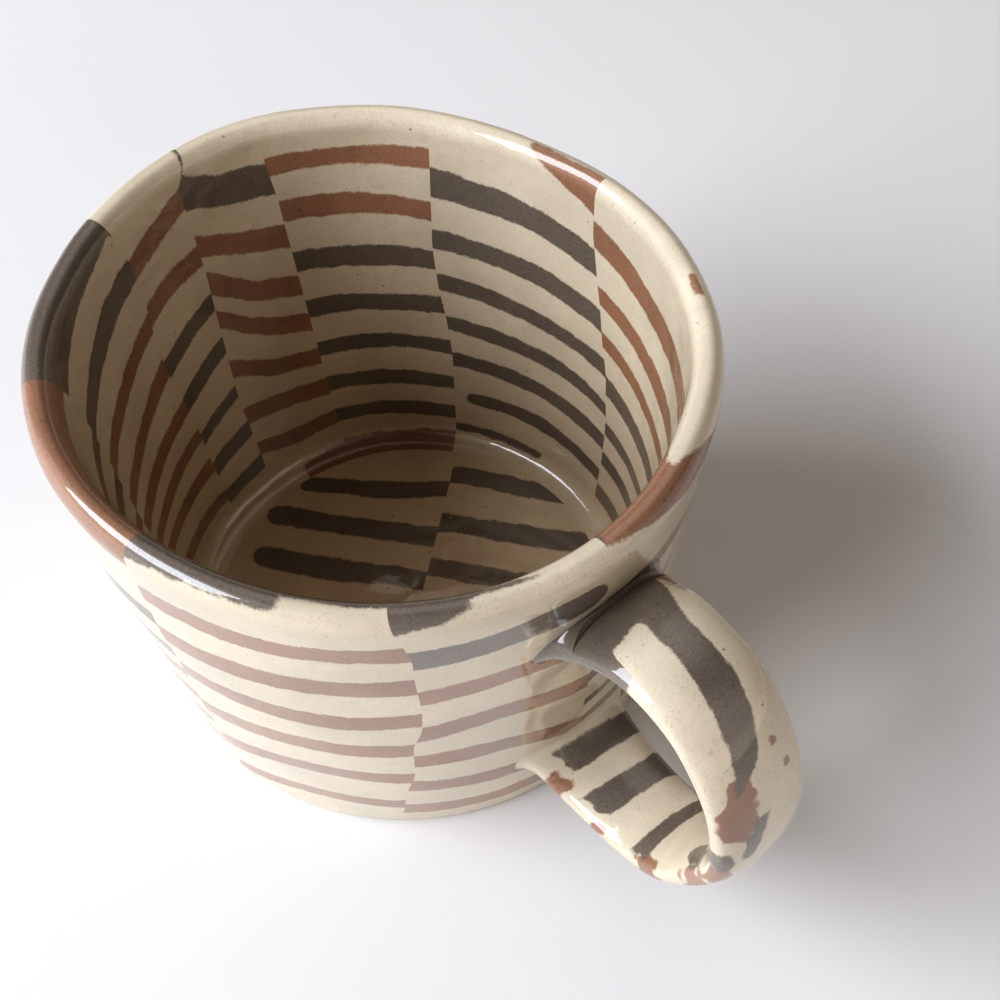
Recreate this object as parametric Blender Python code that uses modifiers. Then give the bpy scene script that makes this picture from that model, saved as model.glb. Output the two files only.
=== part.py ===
"""Ceramic mug built from slabs of coloured clay.

Nine striped wall panels stand edge to edge round a floor of two striped slabs,
and a pulled strap handle in three lengths is luted on at two joints.
Metres, +Z up, origin at the centre of the foot, handle towards +X.
"""
import math

import bmesh
import bpy
from mathutils import Vector

# ---- driving dimensions -------------------------------------------------------------
HEIGHT = 0.0764            # foot to the top of the rim
RIM_RADIUS = 0.0460        # outside of the rim
FOOT_RADIUS = 0.0400       # outside of the foot
WALL = 0.0043              # thickness of the wall panels
FLOOR_THICKNESS = 0.0068   # thickness of the floor slabs
COVE_RADIUS = 0.0040       # rounded inside corner between wall and floor
RIM_ROUND = 0.0018         # rounding of the rim's two edges
FOOT_ROUND = 0.0010        # rounding of the foot's outer edge
SEAM_GAP = 0.0003          # gap kept between neighbouring pieces
CUT_MARGIN = 0.0100        # how far a cutter reaches past what it cuts
FLOOR_SEAM_ANGLE = 129.0   # direction that the floor's middle seam runs in, degrees
FLOOR_SEAM_OFFSET = -0.0018  # how far the floor's middle seam stands off the centre

STRAP_WIDTH = 0.0150       # handle strap, across
STRAP_THICKNESS = 0.0052   # handle strap, through
STRAP_ROUND = 0.0020       # rounding of the strap's long edges
STRAP_FLARE = 1.25         # how much wider the strap is where it meets its joints
HANDLE_TOP = 0.0645        # height of the strap's centre line at its highest point
HANDLE_BOTTOM = 0.0155     # height of the strap's centre line at its lowest point
HANDLE_REACH = 0.0735      # distance of the strap's centre line from the mug's axis
JOINT_LENGTH = 0.0042      # luting clay between strap and wall, along the strap
JOINT_FLARE = 1.30         # how much wider the luting clay is at the wall

TURN_STEPS = 96            # facets round the mug
POINT_SPACING = 0.0022     # spacing of the points along the handle
END_STEP = 0.0003          # a short last step, so that each end is cut square to the route
ARC_STEPS = 4              # facets in each rounded corner

# Where each wall panel begins, counted round from just past the handle: the angle of
# its first seam at the foot and at the rim, degrees.
PANELS = [
    ("wall_panel_handle_right", 0.0, 0.0),
    ("wall_panel_right", 77.7, 91.7),
    ("wall_panel_back_right", 127.5, 131.2),
    ("wall_panel_back", 163.0, 165.7),
    ("wall_panel_back_left", 188.7, 185.0),
    ("wall_panel_left", 202.2, 203.7),
    ("wall_panel_front_left", 235.0, 241.5),
    ("wall_panel_front", 283.7, 283.7),
    ("wall_panel_handle_left", 319.2, 326.7),
]

CLAYS = {
    "cream_clay": (0.72, 0.64, 0.49, 1.0),
    "grey_clay": (0.17, 0.16, 0.14, 1.0),
    "terracotta_clay": (0.42, 0.19, 0.11, 1.0),
}


def clear_scene():
    for ob in list(bpy.data.objects):
        bpy.data.objects.remove(ob, do_unlink=True)


def make_collection(name):
    coll = bpy.data.collections.new(name)
    bpy.context.scene.collection.children.link(coll)
    return coll


def make_material(name, colour, roughness):
    mat = bpy.data.materials.new(name)
    mat.use_nodes = True
    shader = mat.node_tree.nodes["Principled BSDF"]
    shader.inputs["Base Color"].default_value = colour
    shader.inputs["Roughness"].default_value = roughness
    shader.inputs["Metallic"].default_value = 0.0
    return mat


def add_object(name, mesh, coll, mat=None):
    ob = bpy.data.objects.new(name, mesh)
    coll.objects.link(ob)
    if mat is not None:
        mesh.materials.append(mat)
    return ob


def outer_radius(z):
    return FOOT_RADIUS + (RIM_RADIUS - FOOT_RADIUS) * z / HEIGHT


def inner_radius(z):
    return outer_radius(z) - WALL


def arc(cx, cz, radius, start, end):
    """Points on an arc in the profile plane, angles in degrees."""
    points = []
    for i in range(ARC_STEPS + 1):
        a = math.radians(start + (end - start) * i / ARC_STEPS)
        points.append((cx + radius * math.cos(a), cz + radius * math.sin(a)))
    return points


def turned(name, profile, coll, closed):
    """A profile of (radius, height) points turned once round the Z axis."""
    mesh = bpy.data.meshes.new(name)
    edges = [(i, i + 1) for i in range(len(profile) - 1)]
    if closed:
        edges.append((len(profile) - 1, 0))
    mesh.from_pydata([(r, 0.0, z) for r, z in profile], edges, [])
    ob = add_object(name, mesh, coll)
    screw = ob.modifiers.new("turn", "SCREW")
    screw.axis = "Z"
    screw.angle = math.tau
    screw.steps = TURN_STEPS
    screw.render_steps = TURN_STEPS
    screw.use_merge_vertices = True
    screw.merge_threshold = 0.00001
    return ob


def wall_profile():
    """The wall's section: down the outside from the rim, then up the inside."""
    top = HEIGHT
    cove_top = FLOOR_THICKNESS + COVE_RADIUS
    points = []
    points += arc(outer_radius(top - RIM_ROUND) - RIM_ROUND, top - RIM_ROUND, RIM_ROUND, 90, 0)
    points += arc(outer_radius(FOOT_ROUND) - FOOT_ROUND, FOOT_ROUND, FOOT_ROUND, 0, -90)
    toe = inner_radius(cove_top) - COVE_RADIUS
    points.append((toe, 0.0))
    points += arc(toe, cove_top, COVE_RADIUS, -90, 0)
    points += arc(inner_radius(top - RIM_ROUND) + RIM_ROUND, top - RIM_ROUND, RIM_ROUND, 180, 90)
    return points


def seam_point(seam, z):
    """The point at that height on a seam's straight line up the outside of the wall."""
    ends = []
    for angle, radius, height in zip(seam, (FOOT_RADIUS, RIM_RADIUS), (0.0, HEIGHT)):
        a = math.radians(angle)
        ends.append(Vector((radius * math.cos(a), radius * math.sin(a), height)))
    return ends[0] + (ends[1] - ends[0]) * z / HEIGHT


def seam_directions(seam):
    """A seam's way out from the axis and its way across, from one panel to the next."""
    a = math.radians((seam[0] + seam[1]) / 2)
    outward = Vector((math.cos(a), math.sin(a), 0.0))
    along = seam_point(seam, HEIGHT) - seam_point(seam, 0.0)
    return outward, along.cross(outward).normalized()


def wedge(name, start, end, coll):
    """A cutter between two seams, each given as its angle at the foot and at the rim.

    Its two flat sides stand half a seam gap inside the seams, and it reaches past the
    wall at the foot, at the rim and outside.
    """
    bm = bmesh.new()
    rings = []
    for z in (-CUT_MARGIN, HEIGHT + CUT_MARGIN):
        ring = []
        for seam, side in ((start, 1.0), (end, -1.0)):
            outward, across = seam_directions(seam)
            on_seam = seam_point(seam, z) + across * side * SEAM_GAP / 2
            pair = [on_seam - outward * 0.8 * FOOT_RADIUS, on_seam + outward * RIM_RADIUS]
            ring += pair if side > 0 else reversed(pair)
        middle = math.radians((sum(start) + sum(end)) / 4)
        peak = Vector((math.cos(middle), math.sin(middle), 0.0)) * 2.5 * RIM_RADIUS
        peak.z = z
        ring.insert(2, peak)
        rings.append([bm.verts.new(p) for p in ring])
    below, above = rings
    for i in range(len(below)):
        j = (i + 1) % len(below)
        bm.faces.new((below[i], below[j], above[j], above[i]))
    bm.faces.new(list(reversed(below)))
    bm.faces.new(above)
    bmesh.ops.recalc_face_normals(bm, faces=bm.faces)
    mesh = bpy.data.meshes.new(name)
    bm.to_mesh(mesh)
    bm.free()
    ob = add_object(name, mesh, coll)
    hide_cutter(ob)
    return ob


def hide_cutter(ob):
    ob.hide_render = True
    ob.display_type = "WIRE"


def boolean(ob, cutter, operation):
    mod = ob.modifiers.new(operation.lower(), "BOOLEAN")
    mod.operation = operation
    mod.solver = "EXACT"
    mod.object = cutter


def smooth(ob):
    ob.data.shade_smooth()
    ob.data.set_sharp_from_angle(angle=math.radians(35))


def make_wall(parts, cutters, materials):
    """Nine panels, each the turned wall cut between two neighbouring seams."""
    for i, (name, foot_angle, rim_angle) in enumerate(PANELS):
        _, next_foot, next_rim = PANELS[(i + 1) % len(PANELS)]
        turn = 360.0 if i == len(PANELS) - 1 else 0.0
        panel = turned(name, wall_profile(), parts, closed=True)
        panel.data.materials.append(materials["cream_clay"])
        end = (next_foot + turn, next_rim + turn)
        cutter = wedge(name + "_cut", (foot_angle, rim_angle), end, cutters)
        boolean(panel, cutter, "INTERSECT")
        smooth(panel)


def make_floor(parts, cutters, materials):
    """A round floor slab in two halves, either side of the middle seam."""
    radius = inner_radius(FLOOR_THICKNESS + COVE_RADIUS) - COVE_RADIUS - SEAM_GAP
    angle = math.radians(FLOOR_SEAM_ANGLE)
    across = Vector((-math.sin(angle), math.cos(angle), 0.0))
    for name, side in (("floor_slab_left", 1.0), ("floor_slab_right", -1.0)):
        mesh = bpy.data.meshes.new(name)
        bm = bmesh.new()
        bmesh.ops.create_cone(
            bm, cap_ends=True, segments=TURN_STEPS, radius1=radius, radius2=radius,
            depth=FLOOR_THICKNESS)
        bm.to_mesh(mesh)
        bm.free()
        slab = add_object(name, mesh, parts, materials["grey_clay"])
        slab.location = (0.0, 0.0, FLOOR_THICKNESS / 2)

        block = bpy.data.meshes.new(name + "_cut")
        bm = bmesh.new()
        bmesh.ops.create_cube(bm, size=4.0 * radius)
        bm.to_mesh(block)
        bm.free()
        cutter = add_object(name + "_cut", block, cutters)
        away = side * (2.0 * radius + SEAM_GAP / 2) + FLOOR_SEAM_OFFSET
        cutter.location = across * away
        cutter.rotation_euler = (0.0, 0.0, angle)
        hide_cutter(cutter)
        boolean(slab, cutter, "INTERSECT")
        smooth(slab)


def handle_route():
    """The strap's centre line in the XZ plane, from the upper joint to the lower one.

    It leaves the wall below the rim, rises a little, sweeps out and down, and comes
    back in along a long flat underside that lifts slightly to the wall.
    """
    upper_z = HANDLE_TOP - 0.0060
    lower_z = HANDLE_BOTTOM + 0.0022
    tall = HANDLE_TOP - HANDLE_BOTTOM
    out = HANDLE_REACH - RIM_RADIUS
    knots = [
        (outer_radius(upper_z), upper_z),
        (RIM_RADIUS + 0.16 * out, HANDLE_TOP - 0.035 * tall),
        (RIM_RADIUS + 0.40 * out, HANDLE_TOP),
        (RIM_RADIUS + 0.68 * out, HANDLE_TOP - 0.06 * tall),
        (RIM_RADIUS + 0.92 * out, HANDLE_TOP - 0.26 * tall),
        (HANDLE_REACH, HANDLE_TOP - 0.51 * tall),
        (RIM_RADIUS + 0.86 * out, HANDLE_TOP - 0.74 * tall),
        (RIM_RADIUS + 0.69 * out, HANDLE_TOP - 0.91 * tall),
        (RIM_RADIUS + 0.42 * out, HANDLE_BOTTOM),
        (RIM_RADIUS + 0.05 * out, HANDLE_BOTTOM + 0.005 * tall),
        (outer_radius(lower_z), lower_z),
    ]
    knots = [Vector((x, 0.0, z)) for x, z in knots]
    ends = [2 * knots[0] - knots[1]], [2 * knots[-1] - knots[-2]]
    chain = ends[0] + knots + ends[1]
    route = []
    for before, start, end, after in zip(chain, chain[1:], chain[2:], chain[3:]):
        for i in range(8):
            route.append(catmull_rom(before, start, end, after, i / 8))
    route.append(knots[-1])
    return route


def catmull_rom(before, start, end, after, t):
    return 0.5 * (
        2 * start
        + (end - before) * t
        + (2 * before - 5 * start + 4 * end - after) * t ** 2
        + (3 * start - before - 3 * end + after) * t ** 3)


def lengths_along(route):
    total = [0.0]
    for a, b in zip(route, route[1:]):
        total.append(total[-1] + (b - a).length)
    return total


def point_at(route, total, length):
    """The point that far along the route; past either end it runs straight on."""
    if length < 0.0:
        return route[0] + (route[0] - route[1]).normalized() * -length
    if length > total[-1]:
        return route[-1] + (route[-1] - route[-2]).normalized() * (length - total[-1])
    for i in range(len(total) - 1):
        if length <= total[i + 1]:
            share = (length - total[i]) / (total[i + 1] - total[i])
            return route[i].lerp(route[i + 1], share)
    return route[-1]


def strap_section(coll):
    """The strap's cross-section, a rounded rectangle, as a flat closed curve."""
    half_w = STRAP_WIDTH / 2 - STRAP_ROUND
    half_t = STRAP_THICKNESS / 2 - STRAP_ROUND
    points = []
    corners = ((half_w, half_t, 0), (-half_w, half_t, 90), (-half_w, -half_t, 180),
               (half_w, -half_t, 270))
    for cx, cy, start in corners:
        points += arc(cx, cy, STRAP_ROUND, start, start + 90)
    curve = bpy.data.curves.new("strap_section", "CURVE")
    curve.dimensions = "2D"
    spline = curve.splines.new("POLY")
    spline.points.add(len(points) - 1)
    for point, (x, y) in zip(spline.points, points):
        point.co = (x, y, 0.0, 1.0)
    spline.use_cyclic_u = True
    ob = bpy.data.objects.new("strap_section", curve)
    coll.objects.link(ob)
    hide_cutter(ob)
    return ob


def square_end(route, total, cut, way):
    """The first two points of a piece that begins at a cut and runs that way from it.

    Both lie on the route's direction at the cut, half a seam gap and a short step off
    it, so the two pieces that meet at a cut face each other squarely.
    """
    place = point_at(route, total, cut)
    ahead = point_at(route, total, cut + END_STEP)
    behind = point_at(route, total, cut - END_STEP)
    direction = (ahead - behind).normalized() * way
    return [place + direction * (SEAM_GAP / 2 + step) for step in (0.0, END_STEP)]


def sweep(name, route, start, end, flare, section, coll, mat):
    """A length of strap swept along the route between two cuts.

    Its width factor along the way is given by flare.
    """
    total = lengths_along(route)
    count = max(2, round((end - start) / POINT_SPACING))
    lengths = [start + (end - start) * i / count for i in range(count + 1)]
    points = [point_at(route, total, length) for length in lengths]
    points[:1] = square_end(route, total, start, 1.0)
    points[-1:] = reversed(square_end(route, total, end, -1.0))
    lengths = [start] + lengths + [end]
    curve = bpy.data.curves.new(name, "CURVE")
    curve.dimensions = "3D"
    curve.twist_mode = "MINIMUM"
    curve.bevel_mode = "OBJECT"
    curve.bevel_object = section
    curve.use_fill_caps = True
    spline = curve.splines.new("POLY")
    spline.points.add(len(points) - 1)
    for point, place, length in zip(spline.points, points, lengths):
        point.co = (*place, 1.0)
        point.radius = flare(length)
    source = bpy.data.objects.new(name + "_curve", curve)
    coll.objects.link(source)
    graph = bpy.context.evaluated_depsgraph_get()
    mesh = bpy.data.meshes.new_from_object(source.evaluated_get(graph))
    bm = bmesh.new()
    bm.from_mesh(mesh)
    bmesh.ops.remove_doubles(bm, verts=bm.verts, dist=0.00001)
    bmesh.ops.recalc_face_normals(bm, faces=bm.faces)
    bm.to_mesh(mesh)
    bm.free()
    mesh.materials.clear()
    piece = add_object(name, mesh, coll, mat)
    piece.matrix_world = source.matrix_world
    bpy.data.objects.remove(source, do_unlink=True)
    return piece


def make_handle(parts, cutters, materials):
    """Three lengths of strap and the two luting joints that hold them to the wall."""
    route = handle_route()
    total = lengths_along(route)[-1]
    section = strap_section(cutters)
    first, last = JOINT_LENGTH, total - JOINT_LENGTH
    bend_start, bend_end = 0.50 * total, 0.66 * total
    taper = 0.20 * total

    def strap_flare(length):
        near_end = min(length - first, last - length)
        share = max(0.0, 1.0 - near_end / taper)
        return 1.0 + (STRAP_FLARE - 1.0) * share ** 2

    def joint_flare(length):
        share = max(0.0, min(1.0, 1.0 - min(length, total - length) / JOINT_LENGTH))
        return STRAP_FLARE * (1.0 + (JOINT_FLARE - 1.0) * share)

    lengths = [
        ("handle_upper_strap", first, bend_start, "grey_clay"),
        ("handle_bend", bend_start, bend_end, "terracotta_clay"),
        ("handle_lower_strap", bend_end, last, "cream_clay"),
    ]
    for name, start, end, clay in lengths:
        piece = sweep(name, route, start, end, strap_flare, section, parts, materials[clay])
        smooth(piece)

    outside = turned("wall_clearance", [
        (0.0, HEIGHT + CUT_MARGIN),
        (outer_radius(HEIGHT + CUT_MARGIN) + SEAM_GAP, HEIGHT + CUT_MARGIN),
        (outer_radius(-CUT_MARGIN) + SEAM_GAP, -CUT_MARGIN),
        (0.0, -CUT_MARGIN),
    ], cutters, closed=False)
    hide_cutter(outside)
    inset = -0.6 * WALL
    joints = [
        ("handle_upper_joint", inset, first, "grey_clay"),
        ("handle_lower_joint", last, total - inset, "terracotta_clay"),
    ]
    for name, start, end, clay in joints:
        joint = sweep(name, route, start, end, joint_flare, section, parts, materials[clay])
        boolean(joint, outside, "DIFFERENCE")
        smooth(joint)


def main():
    clear_scene()
    parts = make_collection("ceramic_mug")
    cutters = make_collection("cutters")
    materials = {}
    for name, colour in CLAYS.items():
        materials[name] = make_material(name, colour, 0.25)
    make_wall(parts, cutters, materials)
    make_floor(parts, cutters, materials)
    make_handle(parts, cutters, materials)


main()
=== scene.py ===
"""Looks of a mug built by hand from slabs of striped coloured clay, as a Blender add-on.

The stripes are layers of grey and red-brown clay that run right through the cream
slabs, so each piece carries two fields, the distance in millimetres to its nearest grey
and red-brown layer, and the clay material turns these into colour. The whole mug shares
one slightly uneven hand-built form, so that neighbouring slabs meet without a step.
"""
import math
from collections import namedtuple
from functools import partial

import bmesh
import bpy
import numpy as np
from bpy.props import FloatProperty, FloatVectorProperty, PointerProperty
from mathutils import Matrix, Vector


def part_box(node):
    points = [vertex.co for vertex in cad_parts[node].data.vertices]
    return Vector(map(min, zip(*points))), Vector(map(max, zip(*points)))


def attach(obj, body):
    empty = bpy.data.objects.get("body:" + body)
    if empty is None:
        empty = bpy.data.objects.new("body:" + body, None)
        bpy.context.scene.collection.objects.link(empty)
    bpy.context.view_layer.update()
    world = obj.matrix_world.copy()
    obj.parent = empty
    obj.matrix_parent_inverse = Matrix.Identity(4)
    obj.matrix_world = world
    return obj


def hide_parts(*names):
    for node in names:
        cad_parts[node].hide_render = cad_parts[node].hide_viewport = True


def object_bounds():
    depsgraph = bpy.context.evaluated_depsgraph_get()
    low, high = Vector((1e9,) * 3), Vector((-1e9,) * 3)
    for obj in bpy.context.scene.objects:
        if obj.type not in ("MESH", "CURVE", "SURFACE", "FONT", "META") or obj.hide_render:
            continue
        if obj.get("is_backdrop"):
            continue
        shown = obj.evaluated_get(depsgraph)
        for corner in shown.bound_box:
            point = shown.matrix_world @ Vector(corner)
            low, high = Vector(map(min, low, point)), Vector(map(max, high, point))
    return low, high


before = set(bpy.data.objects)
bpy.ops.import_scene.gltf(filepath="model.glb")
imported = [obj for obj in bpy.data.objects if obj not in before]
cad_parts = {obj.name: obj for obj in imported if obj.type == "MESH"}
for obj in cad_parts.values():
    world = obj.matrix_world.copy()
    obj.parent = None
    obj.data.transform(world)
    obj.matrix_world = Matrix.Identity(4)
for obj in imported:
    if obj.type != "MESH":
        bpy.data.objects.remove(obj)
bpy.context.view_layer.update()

bl_info = {
    "name": "Striped Clay Mug",
    "version": (1, 0, 0),
    "blender": (4, 5, 0),
    "location": "3D View > Sidebar > Mug",
    "description": "Builds a slab-built mug of striped coloured clay on a pale table",
    "category": "Add Mesh",
}

MM = 0.001
FOOT_FILM = 0.25 * MM

# ---- sizes read from the frame --------------------------------------------------------


def node_points(start):
    """Every corner of the CAD nodes whose names begin so."""
    return np.array([v.co for name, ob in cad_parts.items() if name.startswith(start)
                     for v in ob.data.vertices])


def radius_of(points):
    return np.hypot(points[:, 0], points[:, 1])


WALL_POINTS = node_points("wall_panel")
HEIGHT = float(WALL_POINTS[:, 2].max())
RIM_BAND = WALL_POINTS[WALL_POINTS[:, 2] > HEIGHT - 2 * MM]
RIM_RADIUS = float(radius_of(RIM_BAND).max())
WALL = RIM_RADIUS - float(radius_of(RIM_BAND).min())
FOOT_RADIUS = float(radius_of(WALL_POINTS[WALL_POINTS[:, 2] < 2 * MM]).max())
FLOOR_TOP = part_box("floor_slab_left")[1].z
FLOOR_RADIUS = float(radius_of(node_points("floor_slab")).max())
STRAP_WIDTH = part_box("handle_bend")[1].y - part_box("handle_bend")[0].y
STRAP_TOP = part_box("handle_upper_strap")[1].z
STRAP_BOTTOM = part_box("handle_lower_strap")[0].z
STRAP_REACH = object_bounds()[1].x

# ---- the slabs ------------------------------------------------------------------------
# A layer is a band of coloured clay through a slab: its clay, its thickness and its
# height at evenly spaced places from the slab's first seam to its second, all in
# millimetres; the share of the slab's width it spans; and the shares of the wall's
# thickness it goes through, from 0 at the outside to 1 at the inside.

Layer = namedtuple("Layer", "clay thick heights span through")
Slab = namedtuple("Slab", "name seam lean layers crack")
Crack = namedtuple("Crack", "above from_share")
WHOLE = (-1.0, 2.0)
NO_CRACK = Crack(math.inf, 0.0)
CRACK_HALF_WIDTH = 0.25    # millimetres
NO_LAYER_NEAR = 9.0        # millimetres, farther than any layer's edge shows


def grey(thick, *heights, span=WHOLE, through=WHOLE):
    return Layer("grey", thick, heights, span, through)


def red(thick, *heights, span=WHOLE, through=WHOLE):
    return Layer("red", thick, heights, span, through)


# Each slab's first seam is a list of (height in mm, angle in degrees from the handle);
# its second seam is the next slab's first. Lean is how much higher, in mm, its layers
# come out on the outside than on the inside. Its crack is a thin dark line that shows
# along its first seam above a height in mm, from a share of the wall's thickness inward.
SLABS = [
    Slab("wall_panel_handle_right", [(0, 1.0), (40, -0.4), (76, -1.3)], 1.5, [
        red(4.6, 77.4, 72.6, 64.6, 64.2, 67.3),
        red(7.0, 77.6, 80.3, 84.0, 88.0, 90.0, through=(0.40, 2)),
        red(1.8, 75.6, span=(0.620, 0.650), through=(0.42, 0.68)),
        red(3.7, 62.0, 60.0, 55.2, 54.4, 56.5),
        red(3.2, 51.0, 50.0, 47.8, 46.7, 48.2),
        grey(3.9, 38.5, 37.6, 38.9),
        grey(3.1, 28.5, 28.4, 29.1),
        grey(3.2, 21.0, 21.0, 21.5),
        grey(4.2, 12.0, 12.0, 12.1),
    ], Crack(75.0, 0.45)),
    Slab("wall_panel_right",
         [(8, 78.2), (20, 77.7), (33, 78.7), (41, 80.5), (48, 83.7), (58, 87.4),
          (67, 90.4), (76, 91.0)], 1.0, [
        red(9.0, 75.7, 78.3, 81.4, 84.0, 87.0, through=(0.54, 2)),
        grey(5.2, 61.9, 64.1, 65.3),
        grey(4.2, 51.6, 52.9, 54.5),
        grey(3.6, 42.5, 43.3, 45.2),
        grey(3.5, 33.4, 34.7, 35.8),
        grey(3.4, 25.2, 26.5, 27.3),
        grey(3.3, 16.3, 17.8, 17.6, span=(-1, 0.88)),
        grey(1.8, 9.0, 9.2, 9.3, span=(0.45, 2)),
    ], NO_CRACK),
    Slab("wall_panel_back_right",
         [(8, 127.5), (28, 127.7), (36, 128.9), (44, 130.6), (52, 131.5), (76, 130.9)],
         5.2, [
        red(3.3, 69.6, 69.5, 69.4),
        red(3.8, 60.0, 60.8, 61.0),
        grey(4.4, 49.8, 50.4, 50.7),
        grey(3.8, 39.6, 40.1, 40.5),
        grey(3.4, 30.2, 30.8, 31.2),
        grey(3.4, 21.1, 22.0, 22.9),
        grey(3.5, 13.1, 13.8, 14.7),
        red(3.0, 6.9),
    ], NO_CRACK),
    Slab("wall_panel_back",
         [(8, 162.5), (35, 163.8), (64, 164.9), (76, 166.4)], 0.5, [
        grey(5.8, 67.3, 68.2, 71.0),
        red(4.2, 56.2, 58.0, 61.7),
        red(4.6, 46.0, 48.3, 54.7),
        red(4.0, 37.5, 40.5, 47.2),
        red(3.7, 29.8, 31.3, 36.3),
        red(4.0, 22.3, 23.3, 25.0),
        red(3.6, 14.6, 13.9, 16.5),
        red(2.4, 6.9, 6.4, 6.0, span=(-1, 0.55)),
    ], NO_CRACK),
    Slab("wall_panel_back_left",
         [(8, 187.5), (30, 188.0), (42, 186.7), (56, 185.2), (72, 184.8), (76.4, 181.0)],
         -1.0, [
        red(3.8, 70.4, 68.2, 66.5),
        red(3.9, 60.0, 59.3, 57.4),
        grey(3.4, 51.0, 49.0, 46.8),
        grey(3.6, 42.0, 39.8, 37.7),
        grey(3.1, 31.5, 30.0, 28.5),
        grey(3.6, 22.2, 21.3, 20.2),
        grey(3.8, 13.3, 12.6, 12.0),
    ], Crack(70.5, 0.0)),
    Slab("wall_panel_left",
         [(8, 202.2), (24, 202.4), (33, 201.9), (45, 203.6), (52, 203.4), (60, 201.6),
          (68, 201.4), (76, 203.4)], 0.8, [
        grey(11.0, 79.6, 76.9, 75.1, span=(0.10, 2)),
        grey(4.3, 66.8, 63.5, 60.3),
        red(3.6, 56.5, 52.8, 50.4),
        red(3.7, 47.5, 43.2, 41.5),
        red(3.3, 37.6, 35.4, 35.0),
        red(3.2, 30.0, 28.8, 28.8),
        red(3.3, 22.0, 22.2, 23.2),
        red(3.4, 12.8, 13.5, 14.5),
    ], Crack(74.2, 0.30)),
    Slab("wall_panel_front_left",
         [(8, 236.0), (50, 235.9), (60, 236.5), (69, 238.0), (76, 242.6)], 1.2, [
        red(11.0, 77.0, 76.0, 76.6),
        grey(3.6, 58.7, 56.5, 56.0),
        grey(4.0, 48.3, 47.0, 46.0),
        red(3.2, 38.7, 38.6, 38.0),
        red(3.2, 30.6, 30.0, 29.0),
        red(3.3, 21.6, 21.0, 20.0),
        red(3.3, 13.0, 12.6, 12.0),
    ], NO_CRACK),
    Slab("wall_panel_front",
         [(0, 276.0), (26, 277.0), (44, 279.5), (60, 281.0), (76, 283.6)], 0.0, [
        grey(6.0, 77.6, 78.6, 78.9, span=(-1, 0.56)),
        grey(3.6, 76.8, through=(0.66, 2)),
        red(4.2, 65.0, 67.0, 68.8),
        red(5.0, 53.6, 56.0, 58.2),
        red(4.7, 42.2, 44.4, 46.6),
        red(4.8, 27.4, 33.5, 34.7),
        red(4.2, 14.5, 22.7, 23.0),
        red(3.9, 2.6, 9.6, 10.2),
    ], NO_CRACK),
    Slab("wall_panel_handle_left",
         [(0, 318.2), (8, 319.8), (16, 321.2), (24, 323.8), (36, 324.6), (42, 326.8),
          (50, 327.4), (60, 327.0), (67, 327.2), (72, 325.9), (76.4, 324.6)], 0.0, [
        grey(4.8, 76.7, 78.2, 80.2, 82.2, 84.0, through=(-1, 0.66)),
        grey(3.6, 76.8, 77.6, 79.0, through=(0.66, 2)),
        grey(5.4, 66.5, 68.7, 68.6, span=(-1, 0.88)),
        red(4.7, 54.0, 56.3, 54.6),
        red(5.4, 41.0, 43.6, 38.8),
        red(5.2, 30.0, 29.6, 22.0),
        red(4.5, 19.3, 17.4, 14.6),
        red(4.7, 7.5, 7.1, 6.0),
    ], NO_CRACK),
]

# The floor is two half discs that meet at a middle seam. A floor layer is grey and runs
# out from the seam: its place along the seam, how much that changes per mm of its way
# out, how far out it goes, and its thickness, all in millimetres.
FLOOR_LAYERS = {
    "floor_slab_left": [
        (23.3, -0.13, 27.4, 3.9),
        (12.3, -0.02, 31.0, 4.1),
        (2.9, 0.0, 30.6, 4.2),
        (-7.4, 0.02, 27.8, 4.0),
        (-17.0, 0.05, 25.0, 3.9),
        (-26.4, 0.10, 17.0, 3.6),
    ],
    "floor_slab_right": [
        (26.2, -0.09, 20.0, 3.9),
        (15.8, -0.05, 27.2, 4.0),
        (5.9, -0.04, 28.6, 4.0),
        (-4.0, 0.0, 28.6, 3.9),
        (-13.8, 0.03, 27.2, 3.9),
        (-23.4, 0.06, 22.0, 3.7),
    ],
}
FLOOR_SEAM_ANGLE = math.radians(129.0)
FLOOR_SEAM_OFFSET = -1.8 * MM

# The handle is one strap, cut in three between its two roots at STRAP_CUTS. A place along
# it is a share of its length, which is given in mm. Its upper root is grey as far as
# ROOT_END, partly grey clay and partly painted shade where the strap meets the wall. A
# wide grey stripe runs down the upper strap to STRIPE_END: its place across (from -1 to 1)
# and its half width in mm are given at even steps from STRIPE_FROM, over STRIPE_SHARE of
# the strap. Grey stripes cross the lower strap: each one's place along, its thickness in
# mm and the place across where it starts. Patches are pressed into it: their place along,
# place across, half length and half width in mm, turn in degrees, and face (1 outer, -1
# inner, 0 both).

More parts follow.
